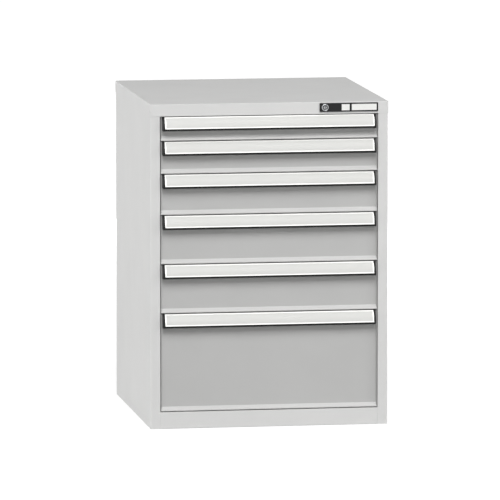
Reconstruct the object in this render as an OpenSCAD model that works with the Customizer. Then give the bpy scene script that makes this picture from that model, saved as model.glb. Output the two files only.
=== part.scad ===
// Steel drawer cabinet: folded housing, six full-width drawers on telescopic runners,
// inclined handles with label strips and a central lock that stops every drawer.
// X is the width, the drawers open towards -Y, Z is up. The origin is the middle of the
// bottom of the whole object's box, handles included. All sizes are in millimetres.

/* [Housing] */
// Width across the top cover
body_w = 731; // [640:1:1000]
// Depth of the top cover, handles left out
body_d = 753; // [600:1:900]
// Thickness of the housing's sheet steel
sheet = 1.2; // [1:0.1:2]
// Inside radius of every bend
bend_r = 1; // [0.5:0.1:2]
// Height of the bottom rail
base_h = 51; // [40:1:120]
// Height of the top cover's flange, which is the fascia at the front
fascia_h = 37; // [34:1:60]
// Width of the front face of each post
post_w = 30.2; // [26:0.1:45]
// Depth of the posts and of the bottom rail's upper fold
post_d = 25; // [15:1:34]
// Width of the fold at the back edge of each side panel
rear_fold = 20; // [12:1:40]
// Height of the folds round the floor sheet
floor_fold = 25; // [12:1:40]
// Depth of the fold under the fascia
fascia_fold = 20; // [10:1:30]
// Clearance between the top cover and what it covers
seam = 0.1; // [0.05:0.05:0.5]

/* [Drawers] */
// Height that each drawer takes up, from the top drawer to the bottom one
drawer_pitch = [75, 100, 125, 150, 150, 300]; // [75:25:400]
// Free height left in the opening by the whole stack of drawers
stack_margin = 2; // [1:0.5:6]
// Gap between two drawer fronts, one above the other
front_gap = 3; // [2:0.5:5]
// Gap between a drawer front's end and the post
side_gap = 2; // [1:0.5:4]
// Depth of a drawer front, from its face to the tray
front_d = 30; // [20:1:34]
// How far the panel lies behind the front's face
panel_recess = 10.5; // [6:0.5:16]
// Flat height of the upright edge at the bottom of a front, between its two bends
lip_flat = 0.3; // [0.2:0.1:4]
// Height of the slope from that edge back to the panel
lip_slope = 9.5; // [6:0.5:16]
// Thickness of the drawers' sheet steel
drawer_sheet = 1.2; // [0.8:0.1:1.6]
// Height of the tray's underside above the front's bottom edge
tray_lift = 6; // [4:1:12]
// Distance from the tray's rim up to the front's top edge
tray_drop = 12; // [8:1:20]
// Height of the folded edge along the tray's rim
rim_fold = 8; // [5:1:12]
// Free depth behind the closed trays
tray_rear_room = 104; // [60:1:160]
// Distance between two slots for dividers in the tray's walls
divider_pitch = 51; // [34:1:102]
// Width of a divider slot
divider_w = 2.4; // [1.5:0.1:4]
// Height of a divider slot
divider_h = 28; // [15:1:30]
// Height of the divider slots above the tray's floor
divider_rise = 8; // [6:1:12]

/* [Handles] */
// Height of the handle's inclined face
handle_h = 35; // [28:1:42]
// How far the lower edge of the face stands out from the posts
handle_out = 17; // [10:1:26]
// Lean of the bowed face at its lower edge, in degrees from upright
handle_foot = 7; // [1:1:12]
// Thickness of the handle's face, measured level
handle_t = 2.8; // [2.2:0.1:4]
// Thickness of the web and the flange that hold the handle
handle_web = 2.2; // [1.5:0.1:3]
// Length of the flange that lies on the panel
handle_flange = 16; // [8:1:20]
// Height of the rims above and below the label
handle_rim = 3; // [2:0.5:5]
// Depth of the label's groove, measured level
groove_d = 1.1; // [0.8:0.1:1.6]
// Thickness of the label strip, measured level
label_t = 0.7; // [0.4:0.1:0.8]
// Clearance between the label strip and the groove's rims
label_gap = 0.3; // [0.1:0.1:1]
// Clearance behind the label strip
label_seat = 0.05; // [0.02:0.01:0.2]
// Distance from the label strip's end to the cap
label_inset = 2.5; // [0.5:0.5:15]
// Thickness of the black cap at each end of a handle
cap_t = 5.5; // [3:0.5:8]
// Distance from the cap to the front's end
handle_inset = 6; // [3:0.5:12]
// Height and depth of the black grip under the handle
grip_h = 7; // [5:0.5:9]

/* [Runners] */
// Width between a tray's side and the uprights, which the runner fills
runner_w = 30.8; // [28:0.1:40]
// Distance that the uprights stand back from the opening's edge
upright_back = 4; // [3:0.5:10]
// Outside height of the cabinet and drawer members
runner_h = 40; // [34:1:44]
// Thickness of the runners' steel
runner_t = 2; // [1.5:0.1:2.5]
// Thickness of the middle member's plate
middle_t = 3; // [2.5:0.1:4]
// Height of the middle member's plate
middle_h = 30; // [24:1:34]
// Gap between the middle member's plate and the other two members
member_gap = 0.9; // [0.6:0.1:1.5]
// Height of the runner's middle above the front's bottom edge
runner_lift = 38; // [36:0.5:46]
// How far the runners reach behind the tray
runner_tail = 5.6; // [0:0.1:20]
// How much shorter the travel is than the runner
travel_short = 20; // [16:1:60]
// Clearance between a roller and the channel above and below it
roller_gap = 0.3; // [0.2:0.05:0.5]
// Gap between a roller and the plate or its rivet head
roller_play = 0.4; // [0.3:0.1:0.6]
// Radius of a roller's axle
axle_r = 4; // [3:0.5:6]
// Radial running clearance of a roller on its axle
axle_fit = 0.05; // [0.02:0.01:0.1]
// Radius of the rivet head at the axle's end
rivet_r = 6.5; // [5:0.5:9]
// Thickness of that rivet head
rivet_t = 0.8; // [0.6:0.1:1]

/* [Uprights] */
// Width of an upright
upright_w = 40; // [30:1:60]
// Thickness of the uprights' steel
upright_t = 1.5; // [1.2:0.1:2]
// Distance from the posts' face to the front uprights
upright_front = 43.3; // [42:0.1:60]
// Distance from the rear uprights' back to the runners' rear ends
upright_rear = 26.3; // [10:0.1:80]
// Distance between two slots, one above the other
slot_pitch = 25; // [20:5:50]
// Height of a slot
slot_h = 12; // [8:1:16]
// Width of a slot
slot_w = 6; // [4:0.5:10]
// Clearance round a runner's hook in its slot
hook_gap = 0.3; // [0.1:0.05:0.5]

/* [Lock] */
// Length of the black lock strip
strip_w = 179.4; // [150:0.1:240]
// Height of the lock strip
strip_h = 26.5; // [24:0.1:30]
// How far the lock strip stands out from the fascia
strip_t = 3.5; // [2:0.1:6]
// Distance from the strip's end to the edge of the drawer opening
strip_inset = 1; // [0:0.5:10]
// Height of the strip's middle above the fascia's middle
strip_rise = 1.2; // [0:0.1:2]
// Distance from the strip's other end to the lock's axis
lock_inset = 16.8; // [14:0.1:24]
// Half the width of the boss that holds the lock behind the fascia
boss_r = 12; // [11:0.5:14]
// Depth of that boss behind the posts' face
boss_d = 18; // [10:1:22]
// Clearance round the boss in the fascia's window
window_gap = 0.2; // [0.1:0.05:0.5]
// Height of both label windows
window_h = 19.5; // [15:0.5:22]
// Width of the small label window
small_window_w = 25; // [15:0.5:30]
// Width of the large label window
large_window_w = 77; // [50:0.5:85]
// Distance from the large window to the strip's end
window_inset = 4; // [3:0.5:8]
// Width of the bar between the two windows
window_bar = 6; // [4:0.5:10]
// Depth of the label windows
window_d = 0.8; // [0.5:0.1:1.5]
// Thickness of the two labels
paper_t = 0.4; // [0.2:0.1:0.4]
// Clearance round the labels in their windows
paper_gap = 0.3; // [0.1:0.1:1]
// Radius of the lock shell's bright ring
ring_r = 10.8; // [10:0.1:12]
// How far the ring stands out from the strip
ring_t = 2; // [1:0.1:3]
// Radius of the lock shell's sleeve
sleeve_r = 9; // [8.5:0.1:9.5]
// Radius of the lock core
core_r = 7; // [6:0.1:7.5]
// Radial running clearance of the core in its shell
core_fit = 0.05; // [0.02:0.01:0.1]
// Radial clearance of the shell in the boss, and of the cam on the core
seat_fit = 0.05; // [0.02:0.01:0.1]
// Width of the key slot
key_w = 2.2; // [1.8:0.1:3]
// Length of the key slot
key_l = 9; // [7:0.5:11]
// Depth of the key slot
key_d = 8; // [4:1:14]
// Radius of the core's spigot, which holds the cam
spigot_r = 4; // [3:0.5:5]
// Radius of the cam's disc
cam_r = 12; // [11.5:0.5:14]
// Thickness of the cam's disc
cam_t = 3; // [2:0.5:4]
// Gap between the cam's disc and the lock bar
cam_gap = 2; // [1:0.5:4]
// Distance from the lock's axis to the cam's pin
crank_r = 8.5; // [7:0.1:9]
// Radius of the cam's pin
pin_r = 2.5; // [2:0.1:3]
// Clearance of the pin in the lock bar's slot
pin_gap = 0.5; // [0.4:0.05:0.8]
// Thickness of the lock bar
bar_t = 3; // [2:0.5:4]
// Clearance between the lock bar and what guides it
bar_gap = 0.3; // [0.2:0.05:0.6]
// Width of the lock bar's upright part
bar_w = 20; // [14:1:21]
// Distance from the uprights' face to the lock bar's upright part
bar_inset = 3; // [2.5:0.5:6]
// Height of the lock bar's arm
arm_h = 16; // [12:1:18]
// How far the arm reaches past its slot
arm_end = 8; // [5:1:14]
// Height of a locking finger
finger_h = 10; // [6:1:14]
// Clearance between a finger's tip and the tray's side
finger_gap = 6; // [4:0.5:8]
// Height of the lug that a finger stops
lug_h = 13; // [12:0.5:14]
// Thickness of that lug
lug_t = 3; // [2:0.5:5]
// Free height between a finger and its lug when unlocked
lug_gap = 1.5; // [1:0.1:2]
// Play between a finger and its lug when locked
lug_play = 2; // [1:0.5:4]
// Height of a guide of the lock bar
guide_h = 20; // [12:1:30]
// Thickness of a guide
guide_t = 2; // [1.5:0.1:2.4]
// Height of the lower guide's middle above the bottom of the stack
guide_low = 150; // [100:1:200]
// Height of the upper guide's middle above the third drawer's bottom edge
guide_high = 60; // [40:1:80]

/* [Hidden] */
drawers = len(drawer_pitch);
bend_steps = 4;
face_steps = 8;
lock_turn = 90;

// Heights
stack_h = sum_to(drawers);
height = base_h + stack_h + stack_margin + fascia_h;
opening_top = height - fascia_h;
panel_top = height - sheet - bend_r - seam;

// Depths: the posts' face is the reference for all that shows at the front
cover_step = sheet + seam;
front_y = -(body_d - cover_step + handle_out) / 2 + handle_out;
back_y = front_y - cover_step + body_d;
side_back_y = back_y - cover_step;
inner_back_y = side_back_y - 2 * sheet;

// Widths
side_x = body_w / 2 - cover_step;
inner_x = side_x - sheet;
opening_x = side_x - post_w;
front_x = opening_x - side_gap;
cap_x = front_x - handle_inset;
handle_x = cap_x - cap_t;

// Handles: the face is an arc through both its edges, about a centre behind and below it
handle_lean = atan(handle_out / handle_h);
bow_face_r = norm([handle_out, handle_h]) / 2 / sin(handle_lean - handle_foot);
bow_y = front_y - handle_out + bow_face_r * cos(handle_foot);
bow_drop = handle_h + bow_face_r * sin(handle_foot);

// Runners, on the +X side: uprights, cabinet member, middle member, drawer member, tray
runner_x = opening_x + upright_back;
tray_x = runner_x - runner_w;
middle_x = (runner_x + tray_x) / 2;
member_tip = middle_t / 2 + member_gap;
channel_h = runner_h - 2 * runner_t;
roller_r = channel_h / 2 - roller_gap;
roller_w = runner_w / 2 - middle_t / 2 - runner_t - rivet_t - 3 * roller_play;
tray_y = front_y + front_d;
lip_turn = atan(panel_recess / lip_slope);
lip_edge = lip_flat + (bend_r + drawer_sheet) * (1 + tan(lip_turn / 2));
tray_back_y = inner_back_y - tray_rear_room;
runner_len = tray_back_y - tray_y + runner_tail;
travel = runner_len - travel_short;
stage_overlap = runner_len - travel / 2;
roller_edge = roller_r + roller_gap;

// Uprights and lock bar
upright_y = front_y + upright_front;
rear_upright_y = tray_y + runner_len - upright_rear - upright_w;
slot_z = base_h + stack_margin / 2 + front_gap / 2 + runner_lift;
bar_back_y = upright_y - bar_gap;
bar_front_y = bar_back_y - bar_t;
bar_x = runner_x + bar_inset;

// Lock
strip_x1 = opening_x - strip_inset;
strip_x0 = strip_x1 - strip_w;
lock_x = strip_x0 + lock_inset;
lock_z = height - fascia_h / 2 + strip_rise;
fascia_y = front_y - cover_step;
strip_y = fascia_y - strip_t;
boss_h = boss_r;
cam_y = bar_front_y - cam_gap;
crank_drop = crank_r * sin(lock_turn / 2);
bar_travel = 2 * crank_drop;
slot_x0 = lock_x - crank_r - pin_r - pin_gap;
slot_x1 = lock_x - crank_r * cos(lock_turn / 2) + pin_r + pin_gap;
arm_z = lock_z - crank_drop;

housing_grey = "#d8d8d8";
drawer_grey = "#cfcfcf";
handle_silver = "#eeeeec";
paper_white = "#fafaf7";
black_plastic = "#1c1c1e";
zinc_steel = "#b4b7ba";
bright_metal = "#d9dbdd";
acetal_white = "#e9e7df";

function drawer_node(n, part) = str("drawer_", n, "_", part);

// Sum of the first n drawers' heights
function sum_to(n) = n == 0 ? 0 : drawer_pitch[n - 1] + sum_to(n - 1);

// Bottom and top edges of drawer n's front, counted from the top drawer
function front_bottom(n) =
  base_h + stack_margin / 2 + front_gap / 2 + stack_h - sum_to(n);
function front_top(n) = front_bottom(n) + drawer_pitch[n - 1] - front_gap;
function tray_bottom(n) = front_bottom(n) + tray_lift;
function tray_top(n) = front_top(n) - tray_drop;
function runner_z(n) = front_bottom(n) + runner_lift;

// Points of an arc
function arc(centre, r, from, to) =
  [for (i = [0 : bend_steps])
     let(a = from + (to - from) * i / bend_steps)
     centre + r * [cos(a), sin(a)]];

// A bent sheet is drawn from a path along its outer face: the steel lies to the path's left
function unit(v) = v / norm(v);
function left_of(v) = [-v[1], v[0]];
function turn_at(a, b, c) = sign((b - a)[0] * (c - b)[1] - (b - a)[1] * (c - b)[0]);
function turned(v, a) = [v[0] * cos(a) - v[1] * sin(a), v[0] * sin(a) + v[1] * cos(a)];

// One bend at b, on the face that lies a distance off to the path's left
function bend(a, b, c, t, off) =
  let(
    n1 = left_of(unit(b - a)),
    n2 = left_of(unit(c - b)),
    turn = turn_at(a, b, c),
    path_r = turn > 0 ? bend_r + t : bend_r,
    centre = b + turn * path_r * (n1 + n2) / (1 + n1 * n2),
    face_r = path_r - turn * off,
    sweep = turn * acos(n1 * n2)
  )
  [for (i = [0 : bend_steps]) centre - turn * face_r * turned(n1, sweep * i / bend_steps)];

function sheet_face(path, t, off) =
  let(last = len(path) - 1)
  concat(
    [path[0] + off * left_of(unit(path[1] - path[0]))],
    [for (i = [1 : last - 1]) each bend(path[i - 1], path[i], path[i + 1], t, off)],
    [path[last] + off * left_of(unit(path[last] - path[last - 1]))]
  );

function backwards(points) = [for (i = [len(points) - 1 : -1 : 0]) points[i]];

module bent_sheet(path, t) {
  polygon(concat(sheet_face(path, t, 0), backwards(sheet_face(path, t, t))));
}

// Upright rectangle from a to b with both upper corners rounded
module arched(a, b, z0, z1, r) {
  polygon(concat(
    [[a, z0]],
    arc([a + r, z1 - r], r, 180, 90),
    arc([b - r, z1 - r], r, 90, 0),
    [[b, z0]]
  ));
}

// Extrudes a profile drawn in Y and Z along X
module along_x(x0, x1) {
  translate([x0, 0, 0]) rotate([90, 0, 90]) linear_extrude(x1 - x0) children();
}

// Extrudes a profile drawn in X and Z along Y
module along_y(y0, y1) {
  translate([0, y1, 0]) rotate([90, 0, 0]) linear_extrude(y1 - y0) children();
}

// Extrudes a profile drawn in X and Y along Z
module along_z(z0, z1) {
  translate([0, 0, z0]) linear_extrude(z1 - z0) children();
}

// Block between two values on each axis
module block(x, y, z) {
  translate([x[0], y[0], z[0]]) cube([x[1] - x[0], y[1] - y[0], z[1] - z[0]]);
}

// Cylinder along Y
module rod_y(r, y0, y1) {
  translate([0, y1, 0]) rotate([90, 0, 0]) cylinder(h = y1 - y0, r = r, $fn = 48);
}

// Cylinder along X
module rod_x(r, x0, x1) {
  translate([x0, 0, 0]) rotate([0, 90, 0]) cylinder(h = x1 - x0, r = r, $fn = 48);
}

module both_sides() {
  children();
  mirror([1, 0, 0]) children();
}

// ---- Housing ----

// One sheet on the +X side, folded into the post at the front and a stiffener at the back
module side_panel() {
  color(housing_grey)
    along_z(0, panel_top)
      bent_sheet([
        [opening_x + post_lip(), front_y + post_d],
        [opening_x, front_y + post_d],
        [opening_x, front_y],
        [side_x, front_y],
        [side_x, side_back_y],
        [side_x - rear_fold, side_back_y]
      ], sheet);
}

// Short fold behind the post, which stops before the lock bar's fingers
function post_lip() = upright_back + sheet;

module back_panel() {
  half = inner_x - bend_r - seam;
  color(housing_grey)
    along_z(sheet, panel_top)
      bent_sheet([
        [half, side_back_y - sheet - rear_fold],
        [half, side_back_y - sheet],
        [-half, side_back_y - sheet],
        [-half, side_back_y - sheet - rear_fold]
      ], sheet);
}

// Block with its four upper edges rounded
module cover_block(inset, z0, r) {
  intersection() {
    along_x(-body_w / 2 + inset, body_w / 2 - inset)
      arched(fascia_y + inset, back_y - inset, z0, height - inset, r);
    along_y(fascia_y + inset, back_y - inset)
      arched(-body_w / 2 + inset, body_w / 2 - inset, z0, height - inset, r);
  }
}

module top_cover() {
  color(housing_grey) {
    difference() {
      cover_block(0, opening_top, bend_r + sheet);
      cover_block(sheet, opening_top - 1, bend_r);
      translate([lock_x, 0, lock_z])
        block([-boss_r - window_gap, boss_r + window_gap], [fascia_y - 1, front_y + 1],
              [-boss_h - window_gap, boss_h + window_gap]);
    }
    block([-opening_x, opening_x], [fascia_y + sheet / 2, front_y + fascia_fold],
          [opening_top, opening_top + sheet]);
  }
}

module base_tray() {
  color(housing_grey) {
    along_x(-opening_x, opening_x)
      bent_sheet([
        [front_y + post_d, base_h],
        [front_y, base_h],
        [front_y, 0],
        [inner_back_y - rear_fold, 0],
        [inner_back_y - rear_fold, floor_fold]
      ], sheet);
    both_sides() {
      block([opening_x - 1, inner_x - bend_r], [front_y + post_d + sheet, inner_back_y - rear_fold - bend_r - sheet],
            [0, sheet]);
      block([inner_x - bend_r - sheet, inner_x - bend_r],
            [front_y + post_d + sheet, inner_back_y - rear_fold - bend_r - sheet], [0, floor_fold]);
    }
  }
}

// ---- Uprights and cabinet runners ----

module upright(y) {
  difference() {
    along_z(floor_fold + seam, opening_top - seam)
      bent_sheet([
        [inner_x, y + upright_w],
        [runner_x, y + upright_w],
        [runner_x, y],
        [inner_x, y]
      ], upright_t);
    for (z = [slot_z : slot_pitch : opening_top - slot_pitch])
      block([runner_x - 1, runner_x + upright_t + 1], slot_span(y), [z - slot_h / 2, z + slot_h / 2]);
  }
}

function slot_span(y) = [y + upright_w / 2 - slot_w / 2, y + upright_w / 2 + slot_w / 2];

module runner_uprights() {
  color(zinc_steel) both_sides() {
    upright(upright_y);
    upright(rear_upright_y);
  }
}

// Channel that is fixed to the uprights by a hook at each of them
module cabinet_runner(n) {
  z = runner_z(n);
  tip = middle_x + member_tip;
  along_y(tray_y, tray_y + runner_len)
    bent_sheet([
      [tip, z - runner_h / 2],
      [runner_x, z - runner_h / 2],
      [runner_x, z + runner_h / 2],
      [tip, z + runner_h / 2]
    ], runner_t);
  for (y = [upright_y, rear_upright_y])
    block([runner_x - runner_t / 2, runner_x + upright_t + 2 * hook_gap],
          slot_span(y) + [hook_gap, -hook_gap],
          [z - slot_h / 2 + hook_gap, z + slot_h / 2 - hook_gap]);
}

module cabinet_runners() {
  color(zinc_steel) both_sides()
    for (n = [1 : drawers]) cabinet_runner(n);
}

// ---- Middle members ----

// Roller on its riveted axle; side is 1 towards the cabinet and -1 towards the drawer
module roller_axle(y, z, side) {
  x = middle_x + side * middle_t / 2;
  reach = roller_w + 2 * roller_play;
  translate([x, y, z]) mirror([side < 0 ? 1 : 0, 0, 0]) {
    rod_x(axle_r, -middle_t / 2, reach + rivet_t);
    translate([reach, 0, 0]) rod_x(rivet_r, 0, rivet_t);
  }
}

module roller(y, z, side) {
  x = middle_x + side * (middle_t / 2 + roller_play);
  translate([x, y, z]) mirror([side < 0 ? 1 : 0, 0, 0])
    difference() {
      rod_x(roller_r, 0, roller_w);
      rod_x(axle_r + axle_fit, -1, roller_w + 1);
    }
}

// The rollers in the cabinet's channel sit at the rear, those in the drawer's at the front
function outer_rollers() =
  [tray_y + runner_len - roller_edge, tray_y + runner_len - stage_overlap + roller_edge];
function inner_rollers() = [tray_y + roller_edge, tray_y + stage_overlap - roller_edge];

module middle_runners(n) {
  z = runner_z(n);
  both_sides() {
    color(zinc_steel) {
      block([middle_x - middle_t / 2, middle_x + middle_t / 2], [tray_y, tray_y + runner_len],
            [z - middle_h / 2, z + middle_h / 2]);
      for (y = outer_rollers()) roller_axle(y, z, 1);
      for (y = inner_rollers()) roller_axle(y, z, -1);
    }
    color(acetal_white) {
      for (y = outer_rollers()) roller(y, z, 1);
      for (y = inner_rollers()) roller(y, z, -1);
    }
  }
}

// ---- Drawers ----

module drawer_runner(n) {
  z = runner_z(n);
  tip = middle_x - member_tip;
  along_y(tray_y, tray_y + runner_len)
    bent_sheet([
      [tip, z + runner_h / 2],
      [tray_x, z + runner_h / 2],
      [tray_x, z - runner_h / 2],
      [tip, z - runner_h / 2]
    ], runner_t);
}

// Drawer members on both sides; the +X one has the lug that the lock's finger stops
module drawer_runners(n) {
  z = runner_z(n) - runner_h / 2;
  color(zinc_steel) {
    both_sides() drawer_runner(n);
    block([tray_x + finger_gap + 1, middle_x - member_tip],
          [bar_back_y + lug_play, bar_back_y + lug_play + lug_t],
          [z - lug_h, z + runner_t / 2]);
  }
}

module drawer_tray(n) {
  z0 = tray_bottom(n);
  z1 = tray_top(n);
  t = drawer_sheet;
  color(drawer_grey)
    difference() {
      union() {
        along_y(tray_y, tray_back_y)
          bent_sheet([[-tray_x, z1], [-tray_x, z0], [tray_x, z0], [tray_x, z1]], t);
        for (y = [tray_y, tray_back_y - t])
          block([-tray_x + t, tray_x - t], [y, y + t], [z0 + t / 2, z1]);
        both_sides()
          block([tray_x - 2 * t, tray_x - t / 2], [tray_y, tray_back_y], [z1 - rim_fold, z1]);
      }
      translate([0, 0, z0 + t + divider_rise]) divider_slots();
    }
}

// Slots in all four walls of a tray, which dividers hook into
module divider_slots() {
  half = divider_w / 2;
  t = drawer_sheet;
  both_sides()
    for (y = [tray_y + divider_pitch : divider_pitch : tray_back_y - divider_pitch / 2])
      block([tray_x - t - 1, tray_x + 1], [y - half, y + half], [0, divider_h]);
  for (x = [-tray_x + divider_pitch : divider_pitch : tray_x - divider_pitch / 2])
    for (y = [tray_y, tray_back_y - t])
      block([x - half, x + half], [y - 1, y + t + 1], [0, divider_h]);
}

module drawer_front(n) {
  z0 = front_bottom(n);
  z1 = front_top(n);
  t = drawer_sheet;
  panel_y = front_y + panel_recess;
  color(drawer_grey) {
    along_x(-front_x, front_x)
      bent_sheet([
        [tray_y, z1],
        [panel_y, z1],
        [panel_y, z0 + lip_edge + lip_slope],
        [front_y, z0 + lip_edge],
        [front_y, z0],
        [tray_y, z0]
      ], t);
    both_sides()
      along_x(front_x - 3 * t / 2, front_x - t / 2)
        polygon(concat(
          arc([front_y + bend_r + t, z0 + bend_r + t], bend_r + t / 2, 180, 270),
          [[tray_y - t / 2, z0 + t / 2], [tray_y - t / 2, z1 - t / 2]],
          arc([front_y + bend_r + t, z1 - bend_r - t], bend_r + t / 2, 90, 180)
        ));
  }
}

// Y of the handle's bowed face at a distance below its top edge
function face_y(drop) = bow_y - sqrt(pow(bow_face_r, 2) - pow(bow_drop - drop, 2));

// Points down the face between two such distances, moved inwards; z1 is the top edge's height
function face_line(z1, from, to, inset) =
  let(grid = [for (i = [1 : face_steps - 1]) handle_h * i / face_steps])
  [for (drop = concat([from], [for (d = grid) if (d > from && d < to) d], [to]))
     [face_y(drop) + inset, z1 - drop]];

module handle(n) {
  z1 = front_top(n);
  back = front_y + panel_recess;
  low = handle_h - handle_rim;
  color(handle_silver)
    along_x(-handle_x, handle_x)
      polygon(concat(
        face_line(z1, 0, handle_rim, 0),
        face_line(z1, handle_rim, low, groove_d),
        face_line(z1, low, handle_h, 0),
        backwards(face_line(z1, handle_web, handle_h, handle_t)),
        [
          [back - handle_web, z1 - handle_web],
          [back - handle_web, z1 - handle_flange],
          [back, z1 - handle_flange],
          [back, z1]
        ]
      ));
}

module label(n) {
  z1 = front_top(n);
  top = handle_rim + label_gap;
  low = handle_h - handle_rim - label_gap;
  half = handle_x - label_inset;
  back = groove_d - label_seat;
  color(paper_white)
    along_x(-half, half)
      polygon(concat(
        face_line(z1, top, low, back - label_t),
        backwards(face_line(z1, top, low, back))
      ));
}

// One black frame: the caps at both ends of the handle and the grip along its lower edge
module grip_frame(n) {
  z1 = front_top(n);
  grip_z = z1 - handle_h;
  grip_y = front_y - handle_out;
  grip_arc = arc([grip_y + grip_h, grip_z], grip_h, 180, 270);
  color(black_plastic) {
    along_x(-handle_x, handle_x) polygon(concat(grip_arc, [[grip_y + grip_h, grip_z]]));
    both_sides()
      along_x(handle_x, cap_x)
        polygon(concat(
          [[front_y + panel_recess, z1]],
          face_line(z1, 0, handle_h, 0),
          [for (i = [1 : bend_steps]) grip_arc[i]],
          [[front_y + panel_recess, grip_z - grip_h]]
        ));
  }
}

// ---- Lock ----

module lock_strip() {
  color(black_plastic)
    difference() {
      union() {
        block([strip_x0, strip_x1], [strip_y, fascia_y],
              [lock_z - strip_h / 2, lock_z + strip_h / 2]);
        translate([lock_x, 0, lock_z])
          block([-boss_r, boss_r], [fascia_y - 1, front_y + boss_d], [-boss_h, boss_h]);
      }
      for (w = label_windows())
        block(w, [strip_y - 1, strip_y + window_d],
              [lock_z - window_h / 2, lock_z + window_h / 2]);
      translate([lock_x, 0, lock_z])
        rod_y(sleeve_r + seat_fit, strip_y - 1, front_y + boss_d + 1);
    }
}

// Both label windows, each from its left to its right edge
function label_windows() =
  let(
    large = strip_x1 - window_inset - large_window_w,
    small = large - window_bar - small_window_w
  )
  [[large, large + large_window_w], [small, small + small_window_w]];

module lock_labels() {
  color(paper_white)
    for (w = label_windows())
      block(w + [paper_gap, -paper_gap],
            [strip_y + window_d - paper_t, strip_y + window_d],
            [lock_z - window_h / 2 + paper_gap, lock_z + window_h / 2 - paper_gap]);
}

module lock_shell() {
  color(bright_metal)
    translate([lock_x, 0, lock_z])
      difference() {
        union() {
          rod_y(ring_r, strip_y - ring_t, strip_y);
          rod_y(sleeve_r, strip_y - ring_t / 2, front_y + boss_d);
        }
        rod_y(core_r + core_fit, strip_y - ring_t - 1, front_y + boss_d + 1);
      }
}

module lock_core() {
  color(bright_metal)
    translate([lock_x, 0, lock_z])
      difference() {
        union() {
          rod_y(core_r, strip_y - ring_t / 2, cam_y - cam_t);
          rod_y(spigot_r, cam_y - cam_t - 1, cam_y);
        }
        block([-key_w / 2, key_w / 2], [strip_y - ring_t, strip_y + key_d],
              [-key_l / 2, key_l / 2]);
      }
}

// At rest the pin points down and to the left; turning clockwise lifts the bar
module lock_cam() {
  color(zinc_steel)
    translate([lock_x, 0, lock_z]) {
      difference() {
        rod_y(cam_r, cam_y - cam_t, cam_y);
        rod_y(spigot_r + seat_fit, cam_y - cam_t - 1, cam_y + 1);
      }
      translate([-crank_r * cos(lock_turn / 2), 0, -crank_drop])
        rod_y(pin_r, cam_y - cam_t / 2, bar_back_y + 1);
    }
}

function finger_top(n) = runner_z(n) - runner_h / 2 - lug_h - lug_gap;

// One flat plate: the arm behind the fascia, the upright part and a finger for each drawer
module lock_bar() {
  z_low = finger_top(drawers) - finger_h;
  color(zinc_steel)
    along_y(bar_front_y, bar_back_y)
      difference() {
        union() {
          square_between([bar_x, bar_x + bar_w], [z_low, arm_z + arm_h / 2]);
          square_between([slot_x0 - arm_end, bar_x + 1], [arm_z - arm_h / 2, arm_z + arm_h / 2]);
          for (n = [1 : drawers])
            square_between([tray_x + finger_gap, bar_x + 1], [finger_top(n) - finger_h, finger_top(n)]);
        }
        square_between([slot_x0, slot_x1], [arm_z - pin_r - pin_gap, arm_z + pin_r + pin_gap]);
      }
}

module square_between(x, z) {
  translate([x[0], z[0]]) square([x[1] - x[0], z[1] - z[0]]);
}

// Staple over the lock bar, fixed to the upright's front face
module bar_guide(z) {
  difference() {
    block([bar_x - bar_gap - guide_t, bar_x + bar_w + bar_gap + guide_t / 2],
          [bar_front_y - bar_gap - guide_t, upright_y], [z - guide_h / 2, z + guide_h / 2]);
    block([bar_x - bar_gap, bar_x + bar_w + bar_gap],
          [bar_front_y - bar_gap, upright_y + 1], [z - guide_h / 2 - 1, z + guide_h / 2 + 1]);
  }
}

module lock_bar_guides() {
  color(zinc_steel) {
    bar_guide(front_bottom(drawers) + guide_low);
    bar_guide(front_bottom(3) + guide_high);
  }
}

// ---- Pieces ----

mirror([1, 0, 0]) side_panel();  // left_side_panel
side_panel();  // right_side_panel
back_panel();
top_cover();
base_tray();
runner_uprights();
cabinet_runners();
lock_strip();
lock_labels();
lock_shell();
lock_core();
lock_cam();
lock_bar();
lock_bar_guides();
for (n = [1 : drawers]) {
  drawer_tray(n);
  drawer_front(n);
  handle(n);
  grip_frame(n);
  label(n);
  drawer_runners(n);
  middle_runners(n);
}
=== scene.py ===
"""Looks of a steel workshop drawer cabinet: its finishes, its small trim, the studio and the camera.

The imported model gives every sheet, runner, handle and lock part at its real size and place. This
script dresses those pieces in procedural finishes, rounds their edges, adds the trim that only
shows close up, and sets up the studio. Lengths are in metres, except where a name ends in _mm.
"""

import logging
import math
from collections.abc import Sequence
from dataclasses import dataclass, field
from enum import Enum

import bmesh
import bpy
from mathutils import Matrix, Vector


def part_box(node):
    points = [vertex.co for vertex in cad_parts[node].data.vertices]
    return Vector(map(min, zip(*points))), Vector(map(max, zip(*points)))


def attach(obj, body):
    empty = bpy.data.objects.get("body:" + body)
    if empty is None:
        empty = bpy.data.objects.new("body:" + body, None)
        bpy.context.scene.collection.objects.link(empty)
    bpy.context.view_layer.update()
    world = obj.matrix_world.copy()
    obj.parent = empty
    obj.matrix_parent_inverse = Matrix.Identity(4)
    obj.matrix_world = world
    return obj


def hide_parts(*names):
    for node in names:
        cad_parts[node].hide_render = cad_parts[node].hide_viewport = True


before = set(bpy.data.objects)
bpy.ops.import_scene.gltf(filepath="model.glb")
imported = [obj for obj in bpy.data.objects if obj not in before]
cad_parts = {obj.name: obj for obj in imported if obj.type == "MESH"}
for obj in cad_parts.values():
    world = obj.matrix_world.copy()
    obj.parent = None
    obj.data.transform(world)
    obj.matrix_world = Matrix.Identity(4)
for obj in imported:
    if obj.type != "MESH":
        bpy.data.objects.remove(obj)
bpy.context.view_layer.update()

log = logging.getLogger("cabinet")

DRAWERS = 6

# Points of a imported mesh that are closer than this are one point.
WELD_REACH_MM = 0.002
# Two places that are closer than this count as the same.
TOUCH_MM = 0.01
# How much a face's area counts against its corners' angles in smooth shading, in percent.
FACE_AREA_WEIGHT = 60


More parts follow.
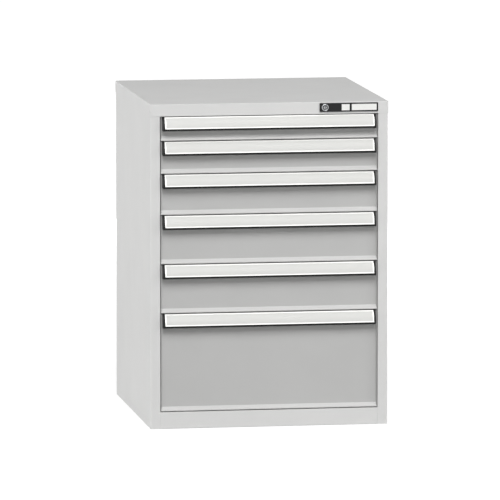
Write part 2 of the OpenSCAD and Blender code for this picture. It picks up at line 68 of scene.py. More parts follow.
def mm(value: float) -> float:
    """Turns millimetres into metres."""
    return value / 1000.0


# ---- Node graphs ----


def linear(hex_colour: str) -> tuple[float, float, float, float]:
    """Turns an sRGB hex colour into linear red, green, blue and alpha.

    Args:
        hex_colour: Colour as "#RRGGBB".

    Returns:
        The four channels, with alpha 1.
    """
    channels = [int(hex_colour[i:i + 2], 16) / 255.0 for i in (1, 3, 5)]
    red, green, blue = (c / 12.92 if c <= 0.04045 else ((c + 0.055) / 1.055) ** 2.4 for c in channels)
    return (red, green, blue, 1.0)


def add_node(
    tree: bpy.types.NodeTree,
    kind: str,
    inputs: dict[str | int, object] | None = None,
    **settings: object,
) -> bpy.types.Node:
    """Adds a node with its settings, its input values and its links.

    Args:
        tree: Node tree that the node goes into.
        kind: Blender's type name, such as "ShaderNodeTexNoise".
        inputs: Input name or index to a value, or to the output socket that feeds it.
        settings: Attributes of the node.

    Returns:
        The new node.
    """
    node = tree.nodes.new(kind)
    for name, value in settings.items():
        setattr(node, name, value)
    for key, value in (inputs or {}).items():
        if isinstance(value, bpy.types.NodeSocket):
            tree.links.new(value, node.inputs[key])
        else:
            node.inputs[key].default_value = value
    return node


def per_metre(size_mm: float) -> float:
    """Scale of a texture whose features are this many millimetres across."""
    return 1000.0 / size_mm


# ---- Finishes ----

Span = tuple[float, float]

# Nearly all values of a noise texture lie between these two.
NOISE_SPREAD: Span = (0.3, 0.7)


@dataclass(frozen=True)
class Surface:
    """A material in the making: its nodes, its shader and the object's own coordinates."""

    material: bpy.types.Material
    tree: bpy.types.NodeTree
    shader: bpy.types.Node
    place: bpy.types.NodeSocket

    def tint(self, colour: str, pattern: bpy.types.NodeSocket, spread: Span, shades: Span) -> None:
        """Lets a pattern darken and lighten the colour.

        Args:
            colour: Colour as "#RRGGBB".
            pattern: The pattern's output.
            spread: Two values of the pattern.
            shades: What multiplies the colour at those values.
        """
        shade = add_node(self.tree, "ShaderNodeMapRange", {
            "Value": pattern, "From Min": spread[0], "From Max": spread[1],
            "To Min": shades[0], "To Max": shades[1]})
        tinted = add_node(self.tree, "ShaderNodeVectorMath", {
            0: linear(colour)[:3], "Scale": shade.outputs["Result"]}, operation="SCALE")
        self.tree.links.new(tinted.outputs["Vector"], self.shader.inputs["Base Color"])

    def sheen(self, pattern: bpy.types.NodeSocket, spread: Span, roughness: Span) -> None:
        """Lets a pattern vary the roughness, and with it the sheen.

        Args:
            pattern: The pattern's output.
            spread: Two values of the pattern.
            roughness: The roughness at those values.
        """
        rough = add_node(self.tree, "ShaderNodeMapRange", {
            "Value": pattern, "From Min": spread[0], "From Max": spread[1],
            "To Min": roughness[0], "To Max": roughness[1]})
        self.tree.links.new(rough.outputs["Result"], self.shader.inputs["Roughness"])

    def relief(self, pattern: bpy.types.NodeSocket, strength: float, depth_mm: float) -> None:
        """Raises a pattern out of the surface.

        Args:
            pattern: The pattern's output.
            strength: Share of the relief that shows, from 0 to 1.
            depth_mm: Depth of the relief.
        """
        bump = add_node(self.tree, "ShaderNodeBump", {
            "Height": pattern, "Strength": strength, "Distance": mm(depth_mm)})
        self.tree.links.new(bump.outputs["Normal"], self.shader.inputs["Normal"])


@dataclass(frozen=True)
class Finish:
    """What every finish on the cabinet has in common."""

    name: str
    slot: str
    colour: str
    roughness: float

    def material(self) -> bpy.types.Material:
        """The finish's material, made on first use."""
        made = bpy.data.materials.get(self.name)
        return made if made else self.build().material

    def build(self) -> Surface:
        """Makes the material; each kind of finish has its own way."""
        raise NotImplementedError

    def start(self, settings: dict[str, float] | None = None) -> Surface:
        """Makes the material with its shader wired up.

        Args:
            settings: Further inputs of the shader.

        Returns:
            The surface, for the finish to draw its patterns on.
        """
        material = bpy.data.materials.new(self.name)
        material.use_nodes = True
        material.diffuse_color = linear(self.colour)
        tree = material.node_tree
        tree.nodes.clear()
        shader = add_node(tree, "ShaderNodeBsdfPrincipled", {
            "Base Color": linear(self.colour), "Roughness": self.roughness, **(settings or {})})
        add_node(tree, "ShaderNodeOutputMaterial", {"Surface": shader.outputs["BSDF"]})
        place = add_node(tree, "ShaderNodeTexCoord").outputs["Object"]
        return Surface(material, tree, shader, place)

    def rough_span(self, less: float, more: float) -> Span:
        """Roughness from a little less than the finish's own to a little more."""
        return (self.roughness - less, self.roughness + more)


@dataclass(frozen=True)
class PowderCoat(Finish):
    """Polyester powder coat, sprayed and baked on folded sheet steel.

    The melted powder leaves a fine, even orange peel, which breaks up the sheen of large flat
    sheets, and a faint cloudiness where the coat is a little thicker.
    """

    gloss: float = 0.18
    peel_mm: float = 1.6
    peel_strength: float = 0.35
    peel_depth_mm: float = 0.05
    cloud_mm: float = 140.0
    cloud_shades: Span = (0.982, 1.012)

    def build(self) -> Surface:
        """Makes the coat with its peel, its cloudiness and its varied sheen."""
        surface = self.start({"Specular IOR Level": self.gloss})
        cloud = add_node(surface.tree, "ShaderNodeTexNoise", {
            "Vector": surface.place, "Scale": per_metre(self.cloud_mm), "Detail": 3.0, "Roughness": 0.5})
        peel = add_node(surface.tree, "ShaderNodeTexNoise", {
            "Vector": surface.place, "Scale": per_metre(self.peel_mm), "Detail": 2.0, "Roughness": 0.55})
        surface.tint(self.colour, cloud.outputs["Fac"], NOISE_SPREAD, self.cloud_shades)
        surface.sheen(peel.outputs["Fac"], NOISE_SPREAD, self.rough_span(0.04, 0.05))
        surface.relief(peel.outputs["Fac"], self.peel_strength, self.peel_depth_mm)
        return surface


@dataclass(frozen=True)
class SatinAnodised(Finish):
    """Anodised aluminium, extruded, etched to a satin and anodised clear.

    The die leaves fine straight lines along the extrusion, and the etched skin spreads the light
    into a soft bright sheen.
    """

    line_mm: float = 0.5
    line_length_mm: float = 900.0
    line_strength: float = 0.25
    line_depth_mm: float = 0.03
    line_shades: Span = (0.965, 1.01)

    def build(self) -> Surface:
        """Makes the metal with die lines that run along X."""
        surface = self.start({"Metallic": 1.0})
        across = per_metre(self.line_mm)
        stretch = add_node(surface.tree, "ShaderNodeMapping", {
            "Vector": surface.place, "Scale": (per_metre(self.line_length_mm), across, across)})
        lines = add_node(surface.tree, "ShaderNodeTexNoise", {
            "Vector": stretch.outputs["Vector"], "Scale": 1.0, "Detail": 4.0, "Roughness": 0.6})
        surface.tint(self.colour, lines.outputs["Fac"], NOISE_SPREAD, self.line_shades)
        surface.sheen(lines.outputs["Fac"], NOISE_SPREAD, self.rough_span(0.05, 0.07))
        surface.relief(lines.outputs["Fac"], self.line_strength, self.line_depth_mm)
        return surface


@dataclass(frozen=True)
class MouldedPlastic(Finish):
    """Black ABS, injection moulded in a spark-eroded mould.

    The mould's grain gives a matt, slightly pebbled black that catches a soft grey light on its
    rounded edges.
    """

    ior: float = 1.54
    gloss: float = 0.25
    grain_mm: float = 0.7
    grain_spread: Span = (0.0, 0.8)
    grain_strength: float = 0.3
    grain_depth_mm: float = 0.06
    grain_shades: Span = (0.9, 1.15)

    def build(self) -> Surface:
        """Makes the plastic with its grain."""
        surface = self.start({"IOR": self.ior, "Specular IOR Level": self.gloss})
        grain = add_node(surface.tree, "ShaderNodeTexVoronoi", {
            "Vector": surface.place, "Scale": per_metre(self.grain_mm), "Randomness": 1.0},
            feature="SMOOTH_F1")
        surface.tint(self.colour, grain.outputs["Distance"], self.grain_spread, self.grain_shades)
        surface.sheen(grain.outputs["Distance"], self.grain_spread, self.rough_span(0.05, 0.08))
        surface.relief(grain.outputs["Distance"], self.grain_strength, self.grain_depth_mm)
        return surface


@dataclass(frozen=True)
class FilmedPaper(Finish):
    """White label paper under clear PVC film, calendered smooth.

    The paper's fibres mottle the white a little, and the film over it adds a thin gloss.
    """

    film_weight: float = 0.25
    film_roughness: float = 0.3
    fibre_mm: float = 1.2
    fibre_length: float = 4.0
    fibre_strength: float = 0.15
    fibre_depth_mm: float = 0.02
    fibre_shades: Span = (0.97, 1.0)

    def build(self) -> Surface:
        """Makes the paper with its fibres, a few times as long as they are wide, and its film."""
        surface = self.start({"Coat Weight": self.film_weight, "Coat Roughness": self.film_roughness})
        across = per_metre(self.fibre_mm)
        stretch = add_node(surface.tree, "ShaderNodeMapping", {
            "Vector": surface.place,
            "Scale": (per_metre(self.fibre_mm * self.fibre_length), across, across)})
        fibres = add_node(surface.tree, "ShaderNodeTexNoise", {
            "Vector": stretch.outputs["Vector"], "Scale": 1.0, "Detail": 5.0, "Roughness": 0.65})
        surface.tint(self.colour, fibres.outputs["Fac"], NOISE_SPREAD, self.fibre_shades)
        surface.relief(fibres.outputs["Fac"], self.fibre_strength, self.fibre_depth_mm)
        return surface


@dataclass(frozen=True)
class ZincPlate(Finish):
    """Zinc-plated steel, rolled, pressed and passivated clear.

    The plating has a cool satin shine with cloudy patches, over the faint lines of the rolled strip.
    """

    cloud_mm: float = 22.0
    line_mm: float = 0.9
    line_length: float = 60.0
    line_strength: float = 0.2
    line_depth_mm: float = 0.03
    blend_spread: Span = (0.7, 1.3)
    blend_shades: Span = (0.86, 1.08)

    def build(self) -> Surface:
        """Makes the plating with its clouds and its rolling lines along Y."""
        surface = self.start({"Metallic": 1.0})
        across = per_metre(self.line_mm)
        cloud = add_node(surface.tree, "ShaderNodeTexNoise", {
            "Vector": surface.place, "Scale": per_metre(self.cloud_mm), "Detail": 5.0, "Roughness": 0.6})
        stretch = add_node(surface.tree, "ShaderNodeMapping", {
            "Vector": surface.place, "Scale": (across, per_metre(self.line_mm * self.line_length), across)})
        lines = add_node(surface.tree, "ShaderNodeTexNoise", {
            "Vector": stretch.outputs["Vector"], "Scale": 1.0, "Detail": 2.0, "Roughness": 0.5})
        blend = add_node(surface.tree, "ShaderNodeMath", {
            0: cloud.outputs["Fac"], 1: lines.outputs["Fac"]}, operation="ADD")
        surface.tint(self.colour, blend.outputs["Value"], self.blend_spread, self.blend_shades)
        surface.sheen(blend.outputs["Value"], self.blend_spread, self.rough_span(0.07, 0.09))
        surface.relief(lines.outputs["Fac"], self.line_strength, self.line_depth_mm)
        return surface


@dataclass(frozen=True)
class BrightPlate(Finish):
    """Nickel or chrome plating on a turned zinc die casting, polished.

    Fine marks from turning and handling soften its bright reflections in places, so that the
    small lock doesn't read as one flat disc.
    """

    mark_mm: float = 0.5
    mark_shades: Span = (0.97, 1.0)
    least_rough: float = 0.7
    most_rough: float = 1.5

    def build(self) -> Surface:
        """Makes the plating with its fine marks."""
        surface = self.start({"Metallic": 1.0})
        marks = add_node(surface.tree, "ShaderNodeTexNoise", {
            "Vector": surface.place, "Scale": per_metre(self.mark_mm), "Detail": 3.0, "Roughness": 0.6})
        surface.tint(self.colour, marks.outputs["Fac"], NOISE_SPREAD, self.mark_shades)
        surface.sheen(marks.outputs["Fac"], NOISE_SPREAD,
                      (self.roughness * self.least_rough, self.roughness * self.most_rough))
        return surface


@dataclass(frozen=True)
class MouldedAcetal(Finish):
    """White acetal, moulded as rollers that run on the steel tracks.

    It is a waxy off-white whose tread is rubbed a little darker by the steel.
    """

    ior: float = 1.48
    rub_mm: float = 5.0
    rub_spread: Span = (0.35, 0.7)
    rub_shades: Span = (1.0, 0.93)

    def build(self) -> Surface:
        """Makes the plastic with its rubbed patches."""
        surface = self.start({"IOR": self.ior})
        rub = add_node(surface.tree, "ShaderNodeTexNoise", {
            "Vector": surface.place, "Scale": per_metre(self.rub_mm), "Detail": 4.0, "Roughness": 0.6})
        surface.tint(self.colour, rub.outputs["Fac"], self.rub_spread, self.rub_shades)
        return surface


# Matt light grey of the housing, the cabinet's main colour.
HOUSING_PAINT = PowderCoat("housing_powder_coat", "housing_paint", "#D8D8D7", 0.58)
# The drawers' panels read a shade darker than the housing: the housing's coat, darkened as painted shade
# for the handles' shadow on the recessed panels.
DRAWER_PAINT_PAINTED_SHADE = PowderCoat("drawer_powder_coat_painted_shade", "drawer_paint", "#BDBDBC", 0.58)
# The folded lips draw a light line between a panel and the handle below it; their coat is a lighter copy of
# the drawers' coat, painted light where the upward-facing lips catch more light.
LIP_PAINT_PAINTED_LIGHT = PowderCoat("lip_powder_coat_painted_light", "drawer_paint", "#D0D0CF", 0.58)
# Nearly white satin metal above and below each label strip.
HANDLE_METAL = SatinAnodised("satin_anodised_aluminium", "handle_aluminium", "#EDEDEB", 0.46)
# Near-black frame that outlines each handle, and the lock strip: black plastic in the end caps and the lock
# strip, painted shade in the strip along each handle's lower edge, where shade falls under the handle.
BLACK_ABS_AND_PAINTED_SHADE = MouldedPlastic("black_moulded_abs_and_painted_shade", "black_plastic", "#0C0C0D", 0.5)
# Off-white strip in each handle, a little duller than the metal round it.
LABEL_PAPER = FilmedPaper("filmed_label_paper", "paper", "#D4D4D1", 0.6)
# The two bright windows in the black lock strip.
LABEL_CARD = FilmedPaper("filmed_label_card", "paper", "#EEEEEB", 0.6)
# Cool grey steel of the runners and the lock's inside.
ZINC = ZincPlate("zinc_plated_steel", "zinc_steel", "#BCC0C4", 0.34)
# The lock's bright ring.
CHROME = BrightPlate("polished_chrome_plate", "bright_metal", "#A4A6A8", 0.2)
# The plug's softer face, inside the ring.
PLUG_METAL = BrightPlate("satin_nickel_plate", "bright_metal", "#A2A3A4", 0.36)
# The dark dish between the ring and the plug, dark as painted shade for the lock's recess.
DISH_PLATE_PAINTED_SHADE = BrightPlate("dish_plate_painted_shade", "bright_metal", "#3A3B3D", 0.34)
# White rollers, seen where a drawer is pulled out.
ACETAL = MouldedAcetal("moulded_acetal", "zinc_steel", "#EDEBE4", 0.34)


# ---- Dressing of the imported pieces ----


@dataclass(frozen=True)
class EdgeRound:
    """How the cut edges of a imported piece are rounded, as deburring and coating leave them."""

    width_mm: float = 0.2
    segments: int = 2
    least_angle_deg: float = 34.0


def dress(node: str, finishes: Sequence[Finish], edge: EdgeRound = EdgeRound()) -> bpy.types.Object:
    """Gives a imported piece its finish, its smooth bends and its rounded edges.

    Args:
        node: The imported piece's name.
        finishes: Finishes for its material slots; the first covers it all.
        edge: Rounding of its cut edges.

    Returns:
        The piece's object.
    """
    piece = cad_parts[node]
    mesh = piece.data
    mesh.materials.clear()
    for finish in finishes:
        mesh.materials.append(finish.material())
    if "custom_normal" in mesh.attributes:
        mesh.attributes.remove(mesh.attributes["custom_normal"])
    mesh.shade_smooth()
    weld = piece.modifiers.new("weld", "WELD")
    weld.merge_threshold = mm(WELD_REACH_MM)
    bevel = piece.modifiers.new("edge", "BEVEL")
    bevel.width = mm(edge.width_mm)
    bevel.segments = edge.segments
    bevel.limit_method = "ANGLE"
    bevel.angle_limit = math.radians(edge.least_angle_deg)
    bevel.use_clamp_overlap = True
    normals = piece.modifiers.new("normals", "WEIGHTED_NORMAL")
    normals.weight = FACE_AREA_WEIGHT
    log.info("dressed %s in %s", node, ", ".join(f.name for f in finishes))
    return piece


def new_piece(name: str, mesh: bmesh.types.BMesh, finish: Finish, body: str) -> bpy.types.Object:
    """Makes an object from a finished mesh, dresses it and lets it ride on a body.

    Args:
        name: Name of the piece.
        mesh: Mesh in the cabinet's frame; it is freed here.
        finish: Finish of the whole piece.
        body: Body that the piece moves with.

    Returns:
        The new piece.
    """
    bmesh.ops.recalc_face_normals(mesh, faces=mesh.faces)
    data = bpy.data.meshes.new(name)
    mesh.to_mesh(data)
    mesh.free()
    data.materials.append(finish.material())
    data.shade_smooth()
    piece = bpy.data.objects.new(name, data)
    bpy.context.scene.collection.objects.link(piece)
    normals = piece.modifiers.new("normals", "WEIGHTED_NORMAL")
    normals.weight = FACE_AREA_WEIGHT
    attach(piece, body)
    log.info("made %s in %s", name, finish.name)
    return piece


def lathe(profile: Sequence[tuple[float, float]], centre: Vector, steps: int = 96) -> bmesh.types.BMesh:
    """Turns a closed profile about an axis along Y.

    Args:
        profile: Radius and Y of each point, in order round the section.
        centre: Point on the axis; its Y isn't used.
        steps: Number of steps round the axis.

    Returns:
        The closed ring as a mesh.
    """
    mesh = bmesh.new()
    rings = []
    for i in range(steps):
        angle = 2 * math.pi * i / steps
        rings.append([mesh.verts.new((centre.x + r * math.cos(angle), y, centre.z + r * math.sin(angle)))
                      for r, y in profile])
    for i, ring in enumerate(rings):
        following = rings[(i + 1) % steps]
        for k in range(len(profile)):
            j = (k + 1) % len(profile)
            mesh.faces.new((ring[k], following[k], following[j], ring[j]))
    return mesh


def arc(centre: tuple[float, float], radius: float, start: float, end: float,
        steps: int) -> list[tuple[float, float]]:
    """Points along an arc, with angles in degrees and both ends included."""
    turn = [math.radians(start + (end - start) * i / steps) for i in range(steps + 1)]
    return [(centre[0] + radius * math.cos(a), centre[1] + radius * math.sin(a)) for a in turn]


# ---- Sub-assemblies ----


class Side(Enum):
    """Which side of the cabinet a piece is on."""

    LEFT = -1
    RIGHT = 1


@dataclass
class Housing:
    """The folded sheet-steel housing with the uprights and runners that are fixed inside it."""

    bend_mm: float = 2.2
    bend_steps: int = 6
    sheets: tuple[str, ...] = (
        "left_side_panel", "right_side_panel", "back_panel", "top_cover", "base_tray")

    def build(self) -> None:
        """Dresses the housing and fills the joints between the rail and the posts."""
        for node in self.sheets:
            dress(node, [HOUSING_PAINT])
        for node in ("runner_uprights", "cabinet_runners"):
            dress(node, [ZINC])
        for side in Side:
            self.rail_weld(side)

    def rail_weld(self, side: Side) -> bpy.types.Object:
        """Makes the ground weld that fills the groove between the bottom rail and a post.

        Args:
            side: The post's side.

        Returns:
            The weld.
        """
        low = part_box("base_tray")[0]
        edge_x = self.opening_x()
        front = low.y
        radius = mm(self.bend_mm)
        centre = (edge_x + radius, front + radius)
        section = [(edge_x, front)] + arc(centre, radius, 270, 180, self.bend_steps)
        mesh = bmesh.new()
        levels = [[mesh.verts.new((side.value * x, y, z)) for x, y in section]
                  for z in (low.z, self.rail_top() - radius / 2)]
        mesh.faces.new(levels[0])
        mesh.faces.new(levels[1])
        for k in range(len(section)):
            j = (k + 1) % len(section)
            mesh.faces.new((levels[0][k], levels[0][j], levels[1][j], levels[1][k]))
        return new_piece(f"rail_weld_{side.name.lower()}", mesh, HOUSING_PAINT, "cabinet")

    @staticmethod
    def opening_x() -> float:
        """Half the width of the drawer opening, from the ends of the bottom rail."""
        rail = [v.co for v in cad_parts["base_tray"].data.vertices]
        front = min(co.y for co in rail)
        return max(co.x for co in rail if co.y < front + mm(TOUCH_MM))

    @staticmethod
    def rail_top() -> float:
        """Height of the bottom rail."""
        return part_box("base_tray")[1].z


@dataclass
class Drawer:
    """One drawer: its tray, front, handle, black frame, label strip and its own runners.

    Beside each roller, plate_mm is the thickness of the middle member, rivet_mm that of the
    axle's head and roller_play_mm the gap. lip_mm is the height of the front's folded lip.
    """

    number: int
    roller_play_mm: float = 0.2
    rivet_mm: float = 0.8
    plate_mm: float = 3.0
    lip_mm: float = 14.2

    def node(self, part: str) -> str:
        """Name of one of the drawer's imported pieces."""
        return f"drawer_{self.number}_{part}"

    def build(self) -> None:
        """Dresses every piece of the drawer."""
        # Tray and front take the darkened drawer coat, painted shade for the handles' shadow.
        dress(self.node("tray"), [DRAWER_PAINT_PAINTED_SHADE])
        self.dress_front()
        dress(self.node("handle"), [HANDLE_METAL])
        # The frame's strip along the handle's lower edge is black as painted shade; its end caps are black
        # plastic.
        dress(self.node("grip_frame"), [BLACK_ABS_AND_PAINTED_SHADE], EdgeRound(width_mm=0.4, segments=3))
        dress(self.node("label"), [LABEL_PAPER], EdgeRound(width_mm=0.1))
        dress(self.node("runners"), [ZINC])
        self.dress_rollers()

    def dress_front(self) -> None:
        """Dresses the front; its folded lip along the bottom gets a lighter coat than its recessed panel,
        painted light for the upward-facing lip.
        """
        piece = dress(self.node("front"), [DRAWER_PAINT_PAINTED_SHADE, LIP_PAINT_PAINTED_LIGHT])
        lip_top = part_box(self.node("front"))[0].z + mm(self.lip_mm)
        # Faces below the lip's top take the lighter coat, painted light on the upward-facing lip.
        for face in piece.data.polygons:
            if face.center.z < lip_top:
                face.material_index = 1

    def dress_rollers(self) -> None:
        """Dresses the middle members, whose rollers are plastic on steel axles.

        A roller's faces lie between its plate and its rivet head, which nothing else does.
        """
        piece = dress(self.node("middle_runners"), [ZINC, ACETAL])
        vertices = piece.data.vertices
        outer = max(abs(v.co.x) for v in vertices)
        inner = min(abs(v.co.x) for v in vertices)
        middle = (outer + inner) / 2
        least = mm(self.plate_mm / 2 + self.roller_play_mm)
        most = (outer - inner) / 2 - mm(self.rivet_mm + self.roller_play_mm)
        for face in piece.data.polygons:
            offsets = [abs(abs(vertices[v].co.x) - middle) for v in face.vertices]
            if least < min(offsets) and max(offsets) < most:
                face.material_index = 1


@dataclass
class Lock:
    """The central lock: the black strip with its labels, the cylinder, the cam and the lock bar.

    lip_crest is the share of the ring's width, from its bore, at which its lip is highest.
    """

    sleeve_r_mm: float = 9.0
    core_gap_mm: float = 0.05
    lip_crest: float = 0.42
    lip_steps: int = 10
    dish_steps: int = 6
    collar_inner_mm: float = 4.7
    collar_gap_mm: float = 0.1
    collar_edge_mm: float = 0.25

    def build(self) -> None:
        """Dresses the lock, and turns its bright bezel and the plug's dark collar."""
        dress("lock_strip", [BLACK_ABS_AND_PAINTED_SHADE], EdgeRound(width_mm=0.5, segments=3))
        dress("lock_labels", [LABEL_CARD], EdgeRound(width_mm=0.1))
        dress("lock_core", [PLUG_METAL], EdgeRound(width_mm=0.3))
        dress("lock_cam", [ZINC])
        dress("lock_bar", [ZINC])
        dress("lock_bar_guides", [ZINC])
        dress("lock_shell", [CHROME])
        self.bezel()
        self.collar()

    def bezel(self) -> bpy.types.Object:
        """Turns the cylinder's shell, whose round lip stands out of the strip."""
        low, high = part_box("lock_shell")
        strip_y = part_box("lock_strip")[0].y
        outer = (high.x - low.x) / 2
        bore = self.core_r() + mm(self.core_gap_mm)
        sleeve = mm(self.sleeve_r_mm)
        height = strip_y - low.y
        crest = bore + (outer - bore) * self.lip_crest
        lip = [(crest + (outer - crest) * math.cos(a), strip_y - height * math.sin(a))
               for a in (math.radians(90 * i / self.lip_steps) for i in range(self.lip_steps + 1))]
        dish = [(crest - (crest - bore) * math.cos(a), low.y + height * (1 - math.sin(a)))
                for a in (math.radians(90 - 90 * i / self.dish_steps)
                          for i in range(1, self.dish_steps + 1))]
        profile = [(sleeve, high.y), (sleeve, strip_y)] + lip + dish + [(bore, high.y)]
        bezel = new_piece("lock_bezel", lathe(profile, (low + high) / 2), CHROME, "cabinet")
        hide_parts("lock_shell")
        return bezel

    def collar(self) -> bpy.types.Object:
        """Turns the dished collar on the plug's face, which leads the key into the keyway; its dark plate
        is painted shade for the lock's recess.
        """
        low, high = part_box("lock_core")
        front_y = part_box("lock_shell")[0].y
        edge = self.core_r() - mm(self.collar_gap_mm)
        rim = mm(self.collar_edge_mm)
        profile = [(edge, low.y), (edge, front_y + rim), (edge - rim, front_y),
                   (mm(self.collar_inner_mm), low.y)]
        ring = lathe(profile, (low + high) / 2)
        # The collar's dark plate is painted shade for the lock's recess.
        return new_piece("lock_collar", ring, DISH_PLATE_PAINTED_SHADE, "lock_core")

    @staticmethod
    def core_r() -> float:
        """Radius of the plug."""
        low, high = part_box("lock_core")
        return (high.x - low.x) / 2


# ---- Studio ----

WHITE = linear("#FFFFFF")


@dataclass
class Softbox:
    """A square soft lamp that faces the cabinet."""

    name: str
    azimuth_deg: float
    elevation_deg: float
    distance: float
    size: float
    watts: float

    def build(self, target: Vector) -> bpy.types.Object:
        """Hangs the lamp round the target.

        Args:
            target: Point that the lamp faces.

        Returns:
            The lamp.
        """
        data = bpy.data.lights.new(self.name, "AREA")
        data.shape = "SQUARE"
        data.size = self.size
        data.energy = self.watts
        lamp = bpy.data.objects.new(self.name, data)
        bpy.context.scene.collection.objects.link(lamp)
        away = outward(self.azimuth_deg, self.elevation_deg)
        lamp.location = target + away * self.distance
        lamp.rotation_euler = away.to_track_quat("Z", "Y").to_euler()
        return lamp


def outward(azimuth_deg: float, elevation_deg: float) -> Vector:
    """Unit vector from the cabinet to a viewer; azimuth 0 is straight in front."""
    azimuth, elevation = math.radians(azimuth_deg), math.radians(elevation_deg)
    return Vector((math.sin(azimuth) * math.cos(elevation), -math.cos(azimuth) * math.cos(elevation),
                   math.sin(elevation)))


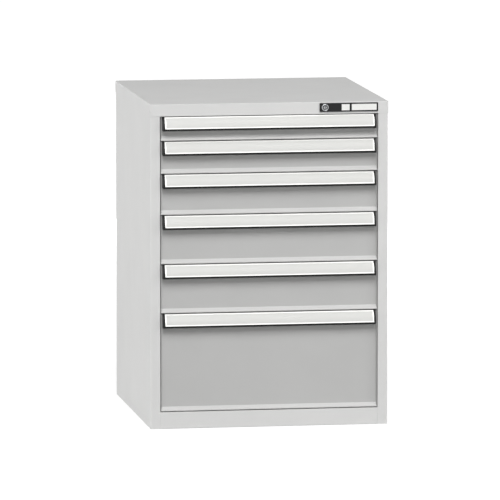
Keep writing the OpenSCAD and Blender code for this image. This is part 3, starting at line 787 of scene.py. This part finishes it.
@dataclass
class Studio:
    """A plain pale floor in a white room, with soft lamps and a long lens that flattens the view.

    For the camera and for mirror rays the floor glows, by floor_glow up to floor_near from the
    middle and by 1 from floor_far on, and its paint keeps only floor_shade of its colour. So it
    reads as white and still keeps the cabinet's shadow.
    """

    camera_azimuth_deg: float = -9.082
    camera_elevation_deg: float = 7.063
    camera_distance: float = 20.5103
    camera_target: tuple[float, float, float] = (-0.00065, 0.0, 0.49597)
    lens_mm: float = 478.396
    sensor_mm: float = 36.0
    floor_size: float = 30.0
    floor_colour: str = "#D0D0D0"
    floor_shade: float = 0.35
    floor_glow: float = 0.87
    floor_near: float = 1.0
    floor_far: float = 3.0
    floor_mottle_mm: float = 1000.0 / 3.0
    floor_mottle_shades: Span = (0.97, 1.0)
    near_clip: float = 0.5
    ambient: float = 0.14
    lamps: list[Softbox] = field(default_factory=lambda: [
        Softbox("key_lamp", 0.0, 45.0, 16.0, 8.0, 1380.0),
        Softbox("upper_left_lamp", -30.0, 45.0, 16.0, 8.0, 500.0),
        Softbox("left_lamp", -90.0, 4.0, 8.0, 2.0, 275.0),
        Softbox("right_lamp", 60.0, 18.0, 8.0, 4.0, 125.0),
        Softbox("front_lamp", 0.0, 5.0, 8.0, 4.0, 45.0),
        Softbox("back_lamp", 180.0, 0.0, 5.0, 0.95, 105.0),
        Softbox("far_side_lamp", 115.0, 0.0, 5.0, 0.95, 60.0),
    ])

    def build(self) -> None:
        """Lays the floor, lights the room and sets the camera."""
        self.floor()
        self.world()
        target = Vector(self.camera_target)
        for lamp in self.lamps:
            lamp.build(target)
        self.camera(target)

    def floor(self) -> bpy.types.Object:
        """Lays a pale floor that reads as white and keeps the cabinet's shadow."""
        mesh = bmesh.new()
        bmesh.ops.create_grid(mesh, x_segments=8, y_segments=8, size=self.floor_size / 2)
        data = bpy.data.meshes.new("studio_floor")
        mesh.to_mesh(data)
        mesh.free()
        floor = bpy.data.objects.new("studio_floor", data)
        bpy.context.scene.collection.objects.link(floor)
        material = bpy.data.materials.new("painted_studio_floor")
        material.use_nodes = True
        tree = material.node_tree
        tree.nodes.clear()
        place = add_node(tree, "ShaderNodeTexCoord").outputs["Object"]
        mottle = add_node(tree, "ShaderNodeTexNoise", {
            "Vector": place, "Scale": per_metre(self.floor_mottle_mm), "Detail": 3.0})
        tint = add_node(tree, "ShaderNodeMapRange", {
            "Value": mottle.outputs["Fac"], "From Min": NOISE_SPREAD[0], "From Max": NOISE_SPREAD[1],
            "To Min": self.floor_mottle_shades[0], "To Max": self.floor_mottle_shades[1]})
        seen = self.seen_rays(tree)
        share = add_node(tree, "ShaderNodeMapRange", {
            "Value": seen, "To Min": 1.0, "To Max": self.floor_shade})
        level = add_node(tree, "ShaderNodeMath", {
            0: tint.outputs["Result"], 1: share.outputs["Result"]}, operation="MULTIPLY")
        colour = add_node(tree, "ShaderNodeVectorMath", {
            0: linear(self.floor_colour)[:3], "Scale": level.outputs["Value"]}, operation="SCALE")
        paint = add_node(tree, "ShaderNodeBsdfDiffuse", {"Color": colour.outputs["Vector"]})
        reach = add_node(tree, "ShaderNodeVectorMath", {0: place}, operation="LENGTH")
        rise = add_node(tree, "ShaderNodeMapRange", {
            "Value": reach.outputs["Value"], "From Min": self.floor_near, "From Max": self.floor_far,
            "To Min": self.floor_glow, "To Max": 1.0})
        strength = add_node(tree, "ShaderNodeMath", {
            0: seen, 1: rise.outputs["Result"]}, operation="MULTIPLY")
        glow = add_node(tree, "ShaderNodeEmission", {
            "Color": WHITE, "Strength": strength.outputs["Value"]})
        both = add_node(tree, "ShaderNodeAddShader", {
            0: paint.outputs["BSDF"], 1: glow.outputs["Emission"]})
        add_node(tree, "ShaderNodeOutputMaterial", {"Surface": both.outputs["Shader"]})
        data.materials.append(material)
        return floor

    @staticmethod
    def seen_rays(tree: bpy.types.NodeTree) -> bpy.types.NodeSocket:
        """Adds nodes that give 1 for camera, mirror and see-through rays and 0 for the rest."""
        path = add_node(tree, "ShaderNodeLightPath")
        either = add_node(tree, "ShaderNodeMath", {
            0: path.outputs["Is Camera Ray"], 1: path.outputs["Is Glossy Ray"]}, operation="MAXIMUM")
        every = add_node(tree, "ShaderNodeMath", {
            0: either.outputs["Value"], 1: path.outputs["Is Transmission Ray"]}, operation="MAXIMUM")
        return every.outputs["Value"]

    def world(self) -> None:
        """Fills the room with an even light, and shows white behind the cabinet."""
        world = bpy.data.worlds.new("studio_room")
        world.use_nodes = True
        tree = world.node_tree
        tree.nodes.clear()
        strength = add_node(tree, "ShaderNodeMapRange", {
            "Value": self.seen_rays(tree), "To Min": self.ambient, "To Max": 1.0})
        glow = add_node(tree, "ShaderNodeBackground", {
            "Color": WHITE, "Strength": strength.outputs["Result"]})
        add_node(tree, "ShaderNodeOutputWorld", {"Surface": glow.outputs["Background"]})
        bpy.context.scene.world = world

    def camera(self, target: Vector) -> bpy.types.Object:
        """Sets the camera on its long lens.

        Args:
            target: Point that the camera looks at.

        Returns:
            The camera.
        """
        data = bpy.data.cameras.new("studio_camera")
        data.lens = self.lens_mm
        data.sensor_fit = "HORIZONTAL"
        data.sensor_width = self.sensor_mm
        data.clip_start = self.near_clip
        data.clip_end = self.camera_distance + self.floor_size
        camera = bpy.data.objects.new("studio_camera", data)
        bpy.context.scene.collection.objects.link(camera)
        away = outward(self.camera_azimuth_deg, self.camera_elevation_deg)
        camera.location = target + away * self.camera_distance
        camera.rotation_euler = away.to_track_quat("Z", "Y").to_euler()
        bpy.context.scene.camera = camera
        return camera


def main() -> None:
    """Builds the sub-assemblies in order, then the studio."""
    logging.basicConfig(level=logging.INFO, format="%(name)s: %(message)s")
    Housing().build()
    for number in range(1, DRAWERS + 1):
        Drawer(number).build()
    Lock().build()
    Studio().build()
    bpy.context.scene.view_settings.view_transform = "Standard"


if __name__ == "__main__":
    main()
